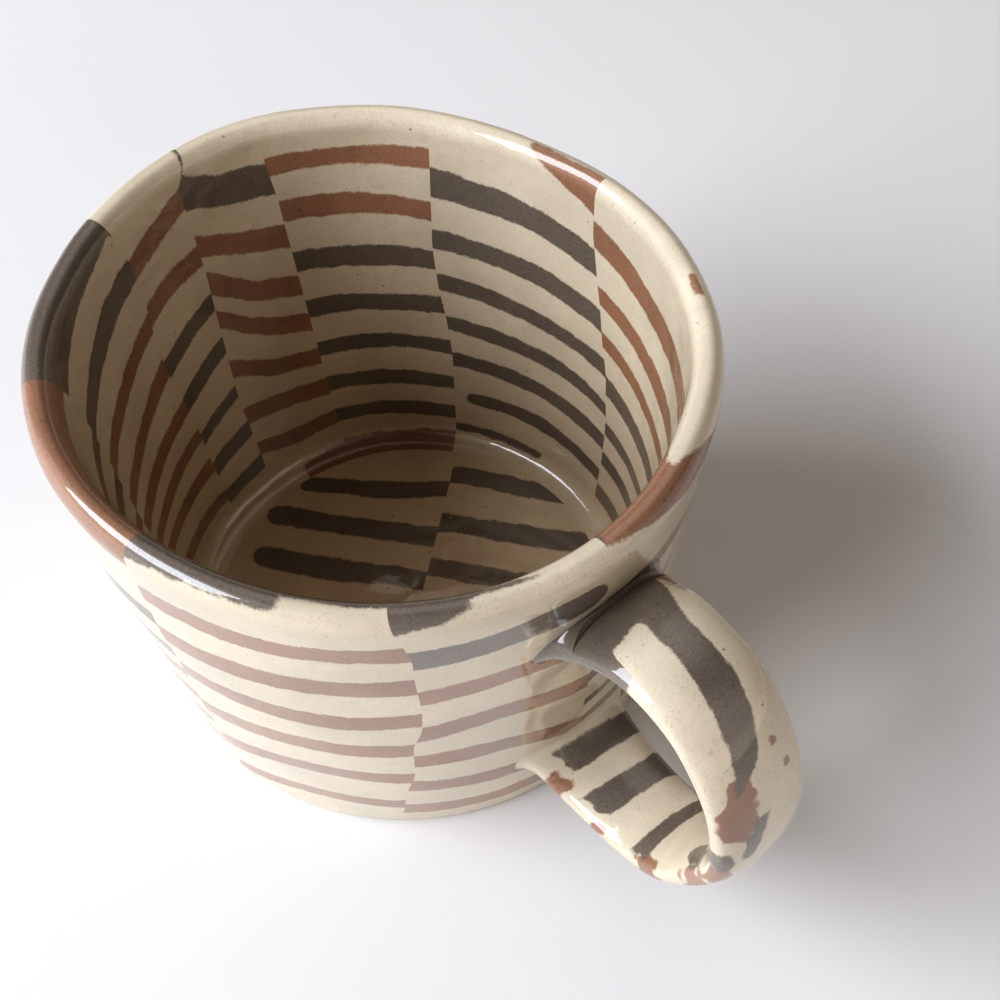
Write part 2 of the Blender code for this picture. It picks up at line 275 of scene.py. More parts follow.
STRAP_LENGTH = 94.5
STRAP_CUTS = (0.05, 0.50, 0.66, 0.95)
ROOT_END = 0.098
STRIPE_FROM, STRIPE_SHARE, STRIPE_END = 0.08, 0.24, 0.306
STRIPE_PLACE = (0.34, 0.17, 0.09, 0.02, -0.10, -0.27)
STRIPE_HALF_WIDTH = (2.5, 2.5, 2.5, 2.4, 2.1, 1.9)
CROSS_STRIPES = ((0.967, 4.2, -0.60), (0.876, 4.6, -0.76), (0.753, 3.9, -0.84))
Patch = namedtuple("Patch", "clay along aside half_long half_wide turn face")
PATCHES = [
    Patch("red", 0.340, -0.44, 3.3, 2.1, 12, 1),
    Patch("red", 0.380, -0.58, 4.0, 2.6, 20, 1),
    Patch("grey", 0.422, -0.33, 4.0, 1.5, -30, 1),
    Patch("grey", 0.452, -0.98, 2.2, 1.5, 0, 0),
    Patch("red", 0.304, 0.42, 1.3, 0.75, 15, 1),
    Patch("red", 0.340, 0.52, 0.5, 0.4, 0, 1),
    Patch("red", 0.500, -0.95, 3.6, 1.3, 0, 1),
    Patch("grey", 0.572, -0.66, 3.6, 1.8, 10, -1),
    Patch("red", 0.585, -1.00, 3.4, 1.0, 0, 0),
    Patch("red", 0.735, -0.96, 2.6, 1.0, 0, 0),
    Patch("red", 0.862, -0.95, 1.8, 1.1, 0, 0),
    Patch("red", 0.955, -0.88, 1.9, 1.3, 0, 0),
    Patch("red", 0.070, 0.90, 2.6, 0.9, 0, 1),
]

# ---- small tools ----------------------------------------------------------------------


def linear(hex_colour):
    """An sRGB hex colour such as #D8CBB0 as linear red, green and blue."""
    values = []
    for i in (1, 3, 5):
        c = int(hex_colour[i:i + 2], 16) / 255
        values.append(c / 12.92 if c <= 0.04045 else ((c + 0.055) / 1.055) ** 2.4)
    return tuple(values)


def curve_at(values, t):
    """A smooth curve through evenly spaced values, read at t from 0 to 1."""
    values = np.array(values, float)
    if len(values) == 1:
        return np.full_like(t, values[0])
    last = len(values) - 1
    padded = np.concatenate([[2 * values[0] - values[1]], values,
                             [2 * values[-1] - values[-2]]])
    place = np.clip(t, 0, 1) * last
    i = np.minimum(place.astype(int), last - 1)
    f = place - i
    a, b, c, d = (padded[i + k] for k in range(4))
    return 0.5 * (2 * b + (c - a) * f + (2 * a - 5 * b + 4 * c - d) * f ** 2
                  + (3 * b - a - 3 * c + d) * f ** 3)


def smoothstep(low, high, x):
    t = np.clip((x - low) / (high - low), 0, 1)
    return t * t * (3 - 2 * t)


def ripple(points, wavelength, seed, waves=8):
    """Soft unevenness from -1 to 1 or so, a sum of plane waves through space."""
    rng = np.random.default_rng(seed)
    total = np.zeros(points.shape[:-1])
    for _ in range(waves):
        way = rng.normal(size=3)
        way /= np.linalg.norm(way)
        pitch = wavelength * rng.uniform(0.7, 1.5)
        total += np.sin(points @ way * math.tau / pitch + rng.uniform(0, math.tau))
    return total / math.sqrt(waves)


def outer_radius(z):
    return FOOT_RADIUS + (RIM_RADIUS - FOOT_RADIUS) * np.asarray(z) / HEIGHT


def formed(shape, radius, angle, z):
    """Points of the body's true form, put slightly out of true as a hand-built one is."""
    up = np.clip(z / HEIGHT, 0, 1)
    oval = (shape.foot_oval * np.cos(2 * (angle - shape.foot_oval_way)) * (1 - up)
            + shape.rim_oval * np.cos(2 * (angle - shape.rim_oval_way)) * up)
    r = radius * (1 + oval)
    x, y = r * np.cos(angle), r * np.sin(angle)
    lift = shape.rim_tilt * (x * math.cos(shape.rim_tilt_way)
                             + y * math.sin(shape.rim_tilt_way))
    lift += shape.rim_wave * np.cos(3 * (angle - shape.rim_wave_way))
    points = np.stack([x, y, z + up * lift], -1)
    push = shape.unevenness * (ripple(points, 34 * MM, 5) + 0.35 * ripple(points, 11 * MM, 6))
    push *= smoothstep(0.0, 0.12, up)
    points[..., 0] += push * np.cos(angle)
    points[..., 1] += push * np.sin(angle)
    points[..., 2] += 0.8 * push * smoothstep(0.9, 1.0, up)
    return points


def solid(name, grid):
    """A closed mesh from a grid of points: rows go along, each row is a closed loop."""
    rows, around = grid.shape[:2]
    index = np.arange(rows * around).reshape(rows, around)
    a, b = index[:-1], index[1:]
    quads = np.stack([a, np.roll(a, -1, 1), np.roll(b, -1, 1), b], -1).reshape(-1, 4)
    mesh = bpy.data.meshes.new(name)
    ends = [index[0][::-1].tolist(), index[-1].tolist()]
    mesh.from_pydata(grid.reshape(-1, 3).tolist(), [], quads.tolist() + ends)
    return mesh


def clay_fields(shape):
    """Distances in mm to the nearest grey and red-brown layer, with no layer laid yet."""
    return {clay + "_layer": np.full(shape, NO_LAYER_NEAR) for clay in ("grey", "red")}


def lay(fields, clay, distance):
    """Adds a layer, given by its distance in mm from each point, below 0 inside it."""
    name = clay + "_layer"
    fields[name] = np.minimum(fields[name], distance)


def add_fields(mesh, fields):
    """Stores each field under its name, one value for each point of the mesh."""
    for name, values in fields.items():
        layer = mesh.attributes.new(name, "FLOAT", "POINT")
        layer.data.foreach_set("value", np.asarray(values, np.float32).ravel())


def finish_mesh(mesh, corner):
    """Welds what coincides, turns faces outward and shades smooth but for real corners."""
    bm = bmesh.new()
    bm.from_mesh(mesh)
    bmesh.ops.remove_doubles(bm, verts=bm.verts, dist=0.002 * MM)
    bmesh.ops.recalc_face_normals(bm, faces=bm.faces)
    bm.to_mesh(mesh)
    bm.free()
    mesh.shade_smooth()
    mesh.set_sharp_from_angle(angle=math.radians(corner))


def build_piece(scene, node, grid, fields, corner=50, footed=True):
    """A finished clay piece in place of a CAD node, its foot bare where it has one.

    Corner is the angle in degrees above which an edge stays sharp.
    """
    mesh = solid(node, grid)
    add_fields(mesh, fields)
    finish_mesh(mesh, corner)
    glazed, bare = shared_materials(scene)
    mesh.materials.append(glazed)
    if footed:
        mesh.materials.append(bare)
        on_foot = np.array([p.center.z < FOOT_FILM for p in mesh.polygons])
        mesh.polygons.foreach_set("material_index", on_foot.astype(np.int32))
    piece = bpy.data.objects.new(node + "_clay", mesh)
    bpy.context.scene.collection.objects.link(piece)
    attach(piece, "root")
    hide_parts(node)
    return piece


# ---- clay and glaze -------------------------------------------------------------------


def add_node(tree, kind, inputs=None, **settings):
    """Adds a shader node of a kind, with its settings and its inputs.

    An input is named, or numbered among those in use. Its value is a number or colour,
    a socket to link, or a node, whose first output in use is linked.
    """
    made = tree.nodes.new("ShaderNode" + kind)
    for key, value in settings.items():
        setattr(made, key, value)
    in_use = [socket for socket in made.inputs if socket.enabled]
    for key, value in (inputs or {}).items():
        target = in_use[key] if isinstance(key, int) else made.inputs[key]
        if isinstance(value, bpy.types.Node):
            value = next(socket for socket in value.outputs if socket.enabled)
        if isinstance(value, bpy.types.NodeSocket):
            tree.links.new(value, target)
        else:
            target.default_value = value
    return made


def new_material(name):
    """An empty node material and the call that adds a node to it."""
    material = bpy.data.materials.new(name)
    material.use_nodes = True
    material.node_tree.nodes.clear()
    return material, partial(add_node, material.node_tree)


def rgba(colour, factor=1.0):
    return (*(min(1.0, c * factor) for c in tuple(colour)[:3]), 1.0)


FEATHER, PIT_DEPTH, GRIT_DEPTH = 0.24, 0.10, 0.02    # millimetres
RGB = {"data_type": "RGBA"}
EASED = {"interpolation_type": "SMOOTHSTEP"}


def grain(place, size, detail=3.0, rough=0.5):
    """What a noise is given for features about as many millimetres across as size."""
    return {"Vector": place, "Scale": 1.0 / size, "Detail": detail, "Roughness": rough}


def striped_clay(node, clays):
    """The colour of the striped clay, with its place in millimetres.

    The layers' edges are feathered by a quarter of a millimetre either way, as wet slabs
    smear when they are pressed together, and wander by about as much. The grog in the
    clays is grit of a quarter of a millimetre.
    """
    where = node("TexCoord").outputs["Object"]
    place = node("VectorMath", {0: where, "Scale": 1 / MM}, operation="SCALE")
    gritty = node("TexNoise", grain(place, 0.45, 3.0, 0.7))
    smear = node("Math", {0: gritty, 1: 0.8, 2: -0.4}, operation="MULTIPLY_ADD")
    slow = node("TexNoise", grain(place, 2.6, 2.0))
    wander = node("Math", {0: slow, 1: 1.0, 2: -0.5}, operation="MULTIPLY_ADD")
    shift = node("Math", {0: smear, 1: wander}, operation="ADD")
    masks = []
    for layer in ("red_layer", "grey_layer"):
        field = node("Attribute", attribute_name=layer).outputs["Fac"]
        edge = node("Math", {0: field, 1: shift}, operation="ADD")
        masks.append(node("MapRange", {"Value": edge, "From Min": -FEATHER,
                                       "From Max": FEATHER, "To Min": 1.0, "To Max": 0.0},
                          **EASED))

    broad = node("TexNoise", grain(place, 16.0))
    cloud = node("MapRange", {"Value": broad, "From Min": 0.35, "From Max": 0.65}, **EASED)
    blotch = node("TexNoise", grain(place, 2.4, 3.0, 0.6))
    fine = node("TexNoise", grain(place, 0.40, 2.0, 0.7))
    sand = node("TexNoise", grain(place, 0.26, 2.0, 0.7))

    def body(clay, pale, deep, grog, grog_share, fleck, fleck_share):
        """One clay: clouded between two depths, with paler grog and darker flecks."""
        colour = node("Mix", {0: cloud, 1: rgba(clay, deep), 2: rgba(clay, pale)}, **RGB)
        for grains, start, factor, share in ((blotch, 0.48, deep, 0.6),
                                             (sand, 0.50, grog, grog_share),
                                             (fine, 0.54, fleck, fleck_share)):
            mask = node("MapRange", {"Value": grains, "From Min": start,
                                     "From Max": start + 0.22, "To Max": share}, **EASED)
            colour = node("Mix", {0: mask, 1: colour, 2: rgba(clay, factor)}, **RGB)
        return colour

    colour = body(clays.cream, 1.05, 0.90, 1.12, 0.30, 0.62, 0.60)
    red = body(clays.terracotta, 1.14, 0.88, 1.5, 0.60, 0.55, 0.70)
    dark = body(clays.grey, 1.12, 0.90, 1.7, 0.60, 0.45, 0.80)
    colour = node("Mix", {0: masks[0], 1: colour, 2: red}, **RGB)
    colour = node("Mix", {0: masks[1], 1: colour, 2: dark}, **RGB)
    return place, colour


def spots(node, place, spacing, size, share, seed):
    """A mask of round spots: one place in each spacing mm, a share of them in use."""
    moved = node("VectorMath", {0: place, 1: (seed, seed * 1.7, 3.1)}, operation="ADD")
    cells = node("TexVoronoi", {"Vector": moved, "Scale": 1.0 / spacing})
    chance = node("SeparateColor", {"Color": cells.outputs["Color"]})
    used = node("Math", {0: chance.outputs[0], 1: share}, operation="LESS_THAN")
    least, more = 0.35 * size / spacing, 0.5 * size / spacing
    reach = node("Math", {0: chance.outputs[1], 1: more, 2: least}, operation="MULTIPLY_ADD")
    gap = node("Math", {0: cells.outputs["Distance"], 1: reach}, operation="SUBTRACT")
    dot = node("MapRange", {"Value": gap, "From Min": -0.06, "From Max": 0.04,
                            "To Min": 1.0, "To Max": 0.0}, **EASED)
    return node("Math", {0: used, 1: dot}, operation="MULTIPLY")


def glazed_stoneware(name, clays, glaze):
    """Striped stoneware, slab built, under a clear gloss glaze fired over it.

    The body is matt and a little sandy. The glaze is a smooth glassy coat with the
    faint pull of a brushed and melted surface, so the eye sees soft clay colour with
    crisp window reflections lying over it.
    """
    material, node = new_material(name)
    place, colour = striped_clay(node, clays)

    # Painted shade: the clay is multiplied by a warm amber, most deeply low down inside the bowl,
    # where less light reaches.
    bowl_shading = node("Attribute", attribute_name="bowl_shade").outputs["Fac"]
    bowl_shading = node("Math", {0: bowl_shading, 1: glaze.bowl_shading}, operation="MULTIPLY")
    colour = node("Mix", {0: bowl_shading, 1: colour, 2: rgba(linear("#C6A87E"))},
                  blend_type="MULTIPLY", **RGB)
    rust_spot = spots(node, place, 5.2, 0.60, 0.20, 47.0)
    iron_spot = spots(node, place, 2.3, 0.26, 0.30, 11.0)
    pit = spots(node, place, 7.5, 0.42, 0.10, 83.0)
    for mask, depth, shown in ((rust_spot, rgba(clays.terracotta, 0.75), 0.45),
                               (iron_spot, rgba(clays.grey, 0.35), 0.72),
                               (pit, rgba(clays.terracotta, 0.22), 0.85)):
        amount = node("Math", {0: mask, 1: shown}, operation="MULTIPLY")
        colour = node("Mix", {0: amount, 1: colour, 2: depth}, **RGB)

    short_wave = node("TexNoise", grain(place, 1.4, 2.0))
    long_wave = node("TexNoise", grain(place, 6.5, 2.0))
    grit = node("TexNoise", grain(place, 0.25, 2.0))
    surface = node("Math", {0: short_wave, 1: glaze.peel / MM}, operation="MULTIPLY")
    surface = node("Math", {0: long_wave, 1: glaze.pull / MM, 2: surface},
                   operation="MULTIPLY_ADD")
    surface = node("Math", {0: pit, 1: -PIT_DEPTH, 2: surface}, operation="MULTIPLY_ADD")
    sandy = node("Math", {0: grit, 1: GRIT_DEPTH, 2: surface}, operation="MULTIPLY_ADD")
    glassy = node("Bump", {"Height": surface, "Distance": MM})
    gritty = node("Bump", {"Height": sandy, "Distance": MM})
    patchy = node("TexNoise", grain(place, 1.1, 2.0))
    rough = node("MapRange", {"Value": patchy, "From Min": 0.2, "From Max": 0.8,
                              "To Min": glaze.body_roughness - 0.06,
                              "To Max": glaze.body_roughness + 0.06})
    shader = node("BsdfPrincipled", {
        "Base Color": colour, "Roughness": rough, "Normal": gritty,
        "IOR": 1.5, "Specular IOR Level": 0.35, "Coat Weight": 1.0,
        "Coat Roughness": glaze.gloss_roughness, "Coat IOR": 1.62,
        "Coat Tint": rgba(linear("#FFFBF2")), "Coat Normal": glassy})
    node("OutputMaterial", {"Surface": shader})
    return material


def bare_foot(name, clays):
    """The same stoneware, sponged clean of glaze on the foot.

    It is unglazed and a little stained, so the eye sees a dry, matt and gritty face.
    """
    material, node = new_material(name)
    place, colour = striped_clay(node, clays)
    colour = node("Mix", {0: 0.35, 1: colour, 2: rgba(linear("#B99A78"))}, **RGB)
    wear = node("TexNoise", grain(place, 4.0, 3.0, 0.6))
    rubbed = node("MapRange", {"Value": wear, "From Min": 0.45, "From Max": 0.7,
                               "To Max": 0.4}, **EASED)
    colour = node("Mix", {0: rubbed, 1: colour, 2: rgba(linear("#8E7258"))}, **RGB)
    grit = node("TexNoise", grain(place, 0.5, 4.0, 0.7))
    bump = node("Bump", {"Height": grit, "Distance": 0.08 * MM})
    shader = node("BsdfPrincipled", {
        "Base Color": colour, "Roughness": 0.82, "IOR": 1.5,
        "Specular IOR Level": 0.3, "Normal": bump})
    node("OutputMaterial", {"Surface": shader})
    return material


def shared_materials(scene):
    """The two finishes that every piece uses, made once."""
    names = ("Striped stoneware, slab built, clear gloss glaze",
             "Bare stoneware, sponged foot")
    if names[0] not in bpy.data.materials:
        glazed_stoneware(names[0], scene.mug_clays, scene.mug_glaze)
        bare_foot(names[1], scene.mug_clays)
    return [bpy.data.materials[n] for n in names]


# ---- wall -----------------------------------------------------------------------------


def seam_curve(seam):
    """A seam's angle as a smooth function of height."""
    heights = np.arange(-6.0, HEIGHT / MM + 6.0, 0.5)
    angles = np.interp(heights, [h for h, _ in seam], [a for _, a in seam])
    kernel = np.hanning(13)
    kernel /= kernel.sum()
    wide = np.pad(angles, 6, mode="edge")
    smooth = np.convolve(wide, kernel, mode="valid")
    return lambda z: np.radians(np.interp(np.asarray(z) / MM, heights, smooth))


def wall_section(shape):
    """The wall's section as a closed loop: under the foot, up the outside, over the lip,
    down the inside, round the cove and down the toe that the floor fits."""
    step = shape.spacing
    lip = shape.lip_height
    foot = shape.foot_round
    half = WALL / 2
    cove = float(outer_radius(FLOOR_TOP + shape.cove)) - WALL - FLOOR_RADIUS

    def run(start, end, pitch=step):
        count = max(1, round(math.dist(start, end) / pitch))
        t = np.arange(count)[:, None] / count
        return np.array(start) * (1 - t) + np.array(end) * t

    base = float(outer_radius(foot))
    under = run((FLOOR_RADIUS + 0.1 * MM, 0.0), (base - foot, 0.0), 2 * step)
    turn = np.linspace(-90, 0, 6)[:-1]
    heel = np.stack([base - foot + foot * np.cos(np.radians(turn)),
                     foot + foot * np.sin(np.radians(turn))], -1)
    shoulder = HEIGHT - lip
    out_top = float(outer_radius(shoulder))
    outside = run((base, foot), (out_top, shoulder))
    sweep = np.linspace(0, math.pi, 19)[:-1]
    power = 2 / shape.lip_fullness
    across = np.sign(np.cos(sweep)) * np.abs(np.cos(sweep)) ** power
    over = np.stack([out_top - half + half * across,
                     shoulder + lip * np.abs(np.sin(sweep)) ** power], -1)
    cove_top = FLOOR_TOP + shape.cove
    inside = run((out_top - WALL, shoulder), (FLOOR_RADIUS + cove, cove_top))
    turn = np.linspace(0, 90, 10)[:-1]
    corner = np.stack([FLOOR_RADIUS + cove * np.cos(np.radians(turn)),
                       cove_top - shape.cove * np.sin(np.radians(turn))], -1)
    toe = run((FLOOR_RADIUS, FLOOR_TOP), (FLOOR_RADIUS + 0.1 * MM, 0.0), 3 * step)
    return np.concatenate([under, heel, outside, over, inside, corner, toe])


def layer_fields(slab, across, width, height, depth, place):
    """How far, in mm, each point is from the slab's nearest grey and red-brown layer."""
    fields = clay_fields(across.shape)
    level = height - slab.lean * (1 - depth)
    swell = ripple(place, 15 * MM, 21)
    stray = ripple(place, 26 * MM, 22)
    wall = WALL / MM
    for layer in slab.layers:
        centre = curve_at(layer.heights, across) + 0.2 * stray
        half = layer.thick / 2 * (1 + 0.07 * swell)
        low, high = layer.span
        beyond = np.maximum(np.maximum(low - across, across - high), 0) * width
        distance = np.hypot(beyond, level - centre) - half
        outer, inner = layer.through
        distance = np.maximum(distance, np.maximum(outer - depth, depth - inner) * wall
                              + 0.25 * swell)
        lay(fields, layer.clay, distance)
    below = np.maximum(slab.crack.above - height, 0)
    crack = np.hypot(across * width, below) - CRACK_HALF_WIDTH
    lay(fields, "grey", np.maximum(crack, (slab.crack.from_share - depth) * wall))
    return fields


def build_slab(scene, slab, following, whole_turn):
    """One wall slab between its own seam and the next slab's."""
    shape = scene.mug_shape
    section = wall_section(shape)
    r, z = section[:, 0], section[:, 1]
    start = seam_curve(slab.seam)(z)
    end = seam_curve(following.seam)(z) + (math.tau if whole_turn else 0.0)
    width = float(np.mean(end - start)) * (FOOT_RADIUS + RIM_RADIUS) / 2
    count = max(4, round(width / shape.spacing))
    across = np.linspace(0, 1, count + 1)[:, None] * np.ones(len(r))
    angle = start + (end - start) * across
    radius = np.broadcast_to(r, angle.shape)
    height = np.broadcast_to(z, angle.shape)
    grid = formed(shape, radius, angle, height)
    depth = np.clip((outer_radius(height) - radius) / WALL, 0, 1)
    place = np.stack([radius * np.cos(angle), radius * np.sin(angle), height], -1)
    fields = layer_fields(slab, across, width / MM, height / MM, depth, place)
    # Painted shade: strongest on the inside face and low down in the bowl.
    fields["bowl_shade"] = depth * (1 - height / HEIGHT) ** 1.3
    return build_piece(scene, slab.name, grid, fields)


# ---- floor ----------------------------------------------------------------------------


def floor_fields(node, across, along, place):
    """How far, in mm, each point of a floor half is from its nearest layers."""
    fields = clay_fields(across.shape)
    away = np.abs(across - FLOOR_SEAM_OFFSET / MM)
    swell = ripple(place, 14 * MM, 23)
    stray = ripple(place, 24 * MM, 24)
    for seam_place, slope, reach, thick in FLOOR_LAYERS[node]:
        middle = seam_place + slope * away + 0.35 * stray
        beyond = np.maximum(away - reach, 0)
        half = thick / 2 * (1 + 0.08 * swell)
        lay(fields, "grey", np.hypot(beyond, along - middle) - half)
    return fields


def build_floor_half(scene, node, side):
    """Half the floor slab: spokes from the middle of the seam out to the wall's toe."""
    shape = scene.mug_shape
    way = np.array([math.cos(FLOOR_SEAM_ANGLE), math.sin(FLOOR_SEAM_ANGLE)])
    out = np.array([-way[1], way[0]])
    middle = out * FLOOR_SEAM_OFFSET
    half_chord = math.sqrt(FLOOR_RADIUS ** 2 - FLOOR_SEAM_OFFSET ** 2)
    opening = math.atan2(half_chord, FLOOR_SEAM_OFFSET)
    spread = opening if side > 0 else math.pi - opening
    facing = math.atan2(out[1] * side, out[0] * side)
    turn = np.linspace(facing - spread, facing + spread, 120)
    rim = FLOOR_RADIUS * np.stack([np.cos(turn), np.sin(turn)], -1)
    rings = max(8, round(FLOOR_RADIUS / shape.spacing))
    share = np.linspace(0, 1, rings + 1)
    flat = middle + (rim[:, None, :] - middle) * share[None, :, None]
    loop = np.concatenate([flat, flat[:, ::-1]], 1)
    level = np.concatenate([np.full(rings + 1, FLOOR_TOP), np.zeros(rings + 1)])
    radius = np.hypot(loop[..., 0], loop[..., 1])
    angle = np.arctan2(loop[..., 1], loop[..., 0])
    height = np.broadcast_to(level, radius.shape)
    grid = formed(shape, radius, angle, height)
    across = (loop - middle) @ out / MM
    along = loop @ way / MM
    fields = floor_fields(node, across, along, grid)
    # Painted shade: full over the floor's top, none underneath.
    fields["bowl_shade"] = height / FLOOR_TOP
    return build_piece(scene, node, grid, fields)


# ---- handle ---------------------------------------------------------------------------


def handle_route(shape):
    """Points close together along the strap's middle line, from wall to wall."""
    half = shape.strap_thickness / 2
    top, bottom, reach = STRAP_TOP - half, STRAP_BOTTOM + half, STRAP_REACH - half
    tall, out = top - bottom, reach - RIM_RADIUS
    upper_z, lower_z = top - 6.0 * MM, bottom + 2.2 * MM
    knots = [
        (float(outer_radius(upper_z)), upper_z),
        (RIM_RADIUS + 0.16 * out, top - 0.035 * tall),
        (RIM_RADIUS + 0.40 * out, top),
        (RIM_RADIUS + 0.68 * out, top - 0.06 * tall),
        (RIM_RADIUS + 0.92 * out, top - 0.26 * tall),
        (reach, top - 0.51 * tall),
        (RIM_RADIUS + 0.86 * out, top - 0.74 * tall),
        (RIM_RADIUS + 0.69 * out, top - 0.91 * tall),
        (RIM_RADIUS + 0.42 * out, bottom),
        (RIM_RADIUS + 0.05 * out, bottom + 0.005 * tall),
        (float(outer_radius(lower_z)), lower_z),
    ]
    t = np.linspace(0, 1, 900)
    return np.stack([curve_at([knot[k] for knot in knots], t) for k in (0, 1)], -1)


class Strap:
    """The handle's surface, read at a length along it and an angle round its section."""

    def __init__(self, shape):
        self.shape = shape
        line = handle_route(shape)
        steps = np.hypot(*np.diff(line, axis=0).T)
        self.length = np.concatenate([[0], np.cumsum(steps)])
        self.line = line
        self.total = float(self.length[-1])

    def middle(self, s):
        """The middle line and its direction; past its ends it runs straight on."""
        inside = np.clip(s, 0, self.total)
        spot = np.stack([np.interp(inside, self.length, self.line[:, k]) for k in (0, 1)], -1)
        small = 0.6 * MM
        ahead = np.clip(inside + small, 0, self.total)
        behind = np.clip(inside - small, 0, self.total)
        way = np.stack([np.interp(ahead, self.length, self.line[:, k])
                        - np.interp(behind, self.length, self.line[:, k])
                        for k in (0, 1)], -1)
        way /= np.linalg.norm(way, axis=-1, keepdims=True)
        spot = spot + way * (s - inside)[..., None]
        return spot, way

    def point(self, s, turn, extra=0.0):
        """A point of the strap's skin, with its section grown by extra."""
        spot, way = self.middle(s)
        near = np.minimum(s, self.total - s)
        flare = 1 + (self.shape.strap_flare - 1) * np.clip(1 - near / (0.2 * self.total), 0, 1) ** 2
        wide = STRAP_WIDTH / 2 * flare + extra
        thick = self.shape.strap_thickness / 2 * (1 + 0.4 * (flare - 1)) + 0.8 * extra
        power = 2 / self.shape.strap_fullness
        c, w = np.cos(turn), np.sin(turn)
        lift = np.sign(c) * np.abs(c) ** power * thick
        side = np.sign(w) * np.abs(w) ** power * wide
        lift = lift - 0.5 * MM * (side / wide) ** 2 * np.sign(c) * np.abs(c)
        x = spot[..., 0] - way[..., 1] * lift
        z = spot[..., 1] + way[..., 0] * lift
        points = np.stack([x, side, z], -1)
        bumps = 0.16 * MM * ripple(points, 16 * MM, 31)
        points[..., 0] += bumps * -way[..., 1] * np.sign(c)
        points[..., 2] += bumps * way[..., 0] * np.sign(c)
        return points


def wall_gap(shape, points):
    """How far points stand off the wall's outside, straight out from the axis."""
    angle = np.arctan2(points[..., 1], points[..., 0])
    wall = formed(shape, outer_radius(points[..., 2]), angle, points[..., 2])
    return np.hypot(points[..., 0], points[..., 1]) - np.hypot(wall[..., 0], wall[..., 1])


def strap_fields(share, side, facing, place):
    """How far, in mm, each point of the handle is from its nearest coloured clay.

    Share runs from 0 at the upper root to 1 at the lower, side from -1 to 1 across, and
    facing is above 0 on the outer face.
    """
    half_wide = STRAP_WIDTH / MM / 2
    long = share * STRAP_LENGTH
    aside = side * half_wide
    wave = ripple(place, 9 * MM, 41)
    ragged = ripple(place, 2.6 * MM, 42)
    uneven = 0.22 * wave
    fields = clay_fields(share.shape)

    along = (share - STRIPE_FROM) / STRIPE_SHARE
    off_middle = np.abs(aside - half_wide * curve_at(STRIPE_PLACE, along))
    stripe = off_middle - curve_at(STRIPE_HALF_WIDTH, along)
    end = long - STRAP_LENGTH * (STRIPE_END - 0.05 * side)
    lay(fields, "grey", np.maximum(stripe, end) + uneven)
    # Grey at the upper root: partly grey clay, partly painted shade where the strap meets the wall.
    root = ROOT_END - 0.05 * smoothstep(0.55, 0.8, side) + 0.045 * smoothstep(-0.74, -0.86, side)
    lay(fields, "grey", long - STRAP_LENGTH * root + uneven)
    for at, thick, start in CROSS_STRIPES:
        curl = -1.2 * side + 2.0 * np.maximum(-side - 0.45, 0) ** 2
        short = (start - side) * half_wide + 0.5 * ragged
        across = np.abs(long - at * STRAP_LENGTH - curl) - thick / 2 * (1 + 0.12 * wave)
        lay(fields, "grey", np.maximum(across, short) + uneven)
    for patch in PATCHES:
        a = math.radians(patch.turn)
        x = long - patch.along * STRAP_LENGTH
        y = aside - patch.aside * half_wide
        x, y = x * math.cos(a) + y * math.sin(a), y * math.cos(a) - x * math.sin(a)
        distance = np.hypot(x / patch.half_long, y / patch.half_wide) - 1
        distance = distance * min(patch.half_long, patch.half_wide) + 0.35 * ragged
        if patch.face:
            distance = np.where(facing * patch.face > -0.15, distance, NO_LAYER_NEAR)
        lay(fields, patch.clay, distance + uneven)
    return fields


def build_strap_piece(scene, strap, node, s_from, s_to, at_wall=None):
    """A length of the handle, or a joint that spreads to meet the wall's outside."""
    shape = scene.mug_shape
    around = 72
    turn = np.linspace(0, math.tau, around, endpoint=False)
    if at_wall is None:
        rows = max(3, round((s_to - s_from) / (0.8 * shape.spacing)))
        s = np.linspace(s_from, s_to, rows + 1)[:, None] * np.ones(around)
    else:
        rows = 26
        inward = -1 if at_wall == "upper" else 1
        inner_end = s_from if at_wall == "upper" else s_to
        outer_end = s_to if at_wall == "upper" else s_from
        tries = inner_end + inward * np.linspace(-6 * MM, 4 * MM, 90)
        gaps = wall_gap(shape, strap.point(tries[:, None] * np.ones(around),
                                           turn[None, :] * np.ones((90, 1)), 2.0 * MM))
        hit = np.array([tries[np.argmax(gaps[:, k] < 0)] for k in range(around)])
        t = np.linspace(0, 1, rows + 1)[:, None] ** 1.2
        s = hit[None, :] + (outer_end - hit[None, :]) * t
        if at_wall == "lower":
            s = s[::-1]
    turns = np.broadcast_to(turn, s.shape)
    points = strap.point(s, turns)
    if at_wall is not None:
        fillet = shape.root_fillet
        gap = np.clip(wall_gap(shape, points), 0, fillet)
        grow = fillet - np.sqrt(fillet ** 2 - (fillet - gap) ** 2)
        points = strap.point(s, turns, grow)
        pull = (1 - gap / fillet) ** 2
        off = wall_gap(shape, points) + 0.12 * MM
        reach = np.hypot(points[..., 0], points[..., 1])
        scale = 1 - pull * off / reach
        points[..., 0] *= scale
        points[..., 1] *= scale
    side = np.sign(np.sin(turns)) * np.abs(np.sin(turns)) ** (2 / shape.strap_fullness)
    fields = strap_fields(s / strap.total, side, np.cos(turns), points)
    return build_piece(scene, node, points, fields, corner=60, footed=False)


# ---- settings that a user would change ------------------------------------------------


def colour_setting(name, about, hex_colour):
    return FloatVectorProperty(name=name, description=about, subtype="COLOR", size=3,
                               min=0.0, max=1.0, default=linear(hex_colour))


def length_setting(name, about, millimetres):
    return FloatProperty(name=name, description=about, unit="LENGTH",
                         default=millimetres * MM, precision=5)


def angle_setting(name, about, degrees):
    return FloatProperty(name=name, description=about, subtype="ANGLE",
                         default=math.radians(degrees))


class MugClays(bpy.types.PropertyGroup):
    """Colours of the three clays as fired under the glaze."""
    cream: colour_setting("Cream clay", "Pale stoneware between the stripes", "#D9D0BF")
    grey: colour_setting("Grey clay", "Stoneware stained dark grey", "#6A625B")
    terracotta: colour_setting("Red-brown clay", "Iron-rich clay", "#946F5A")


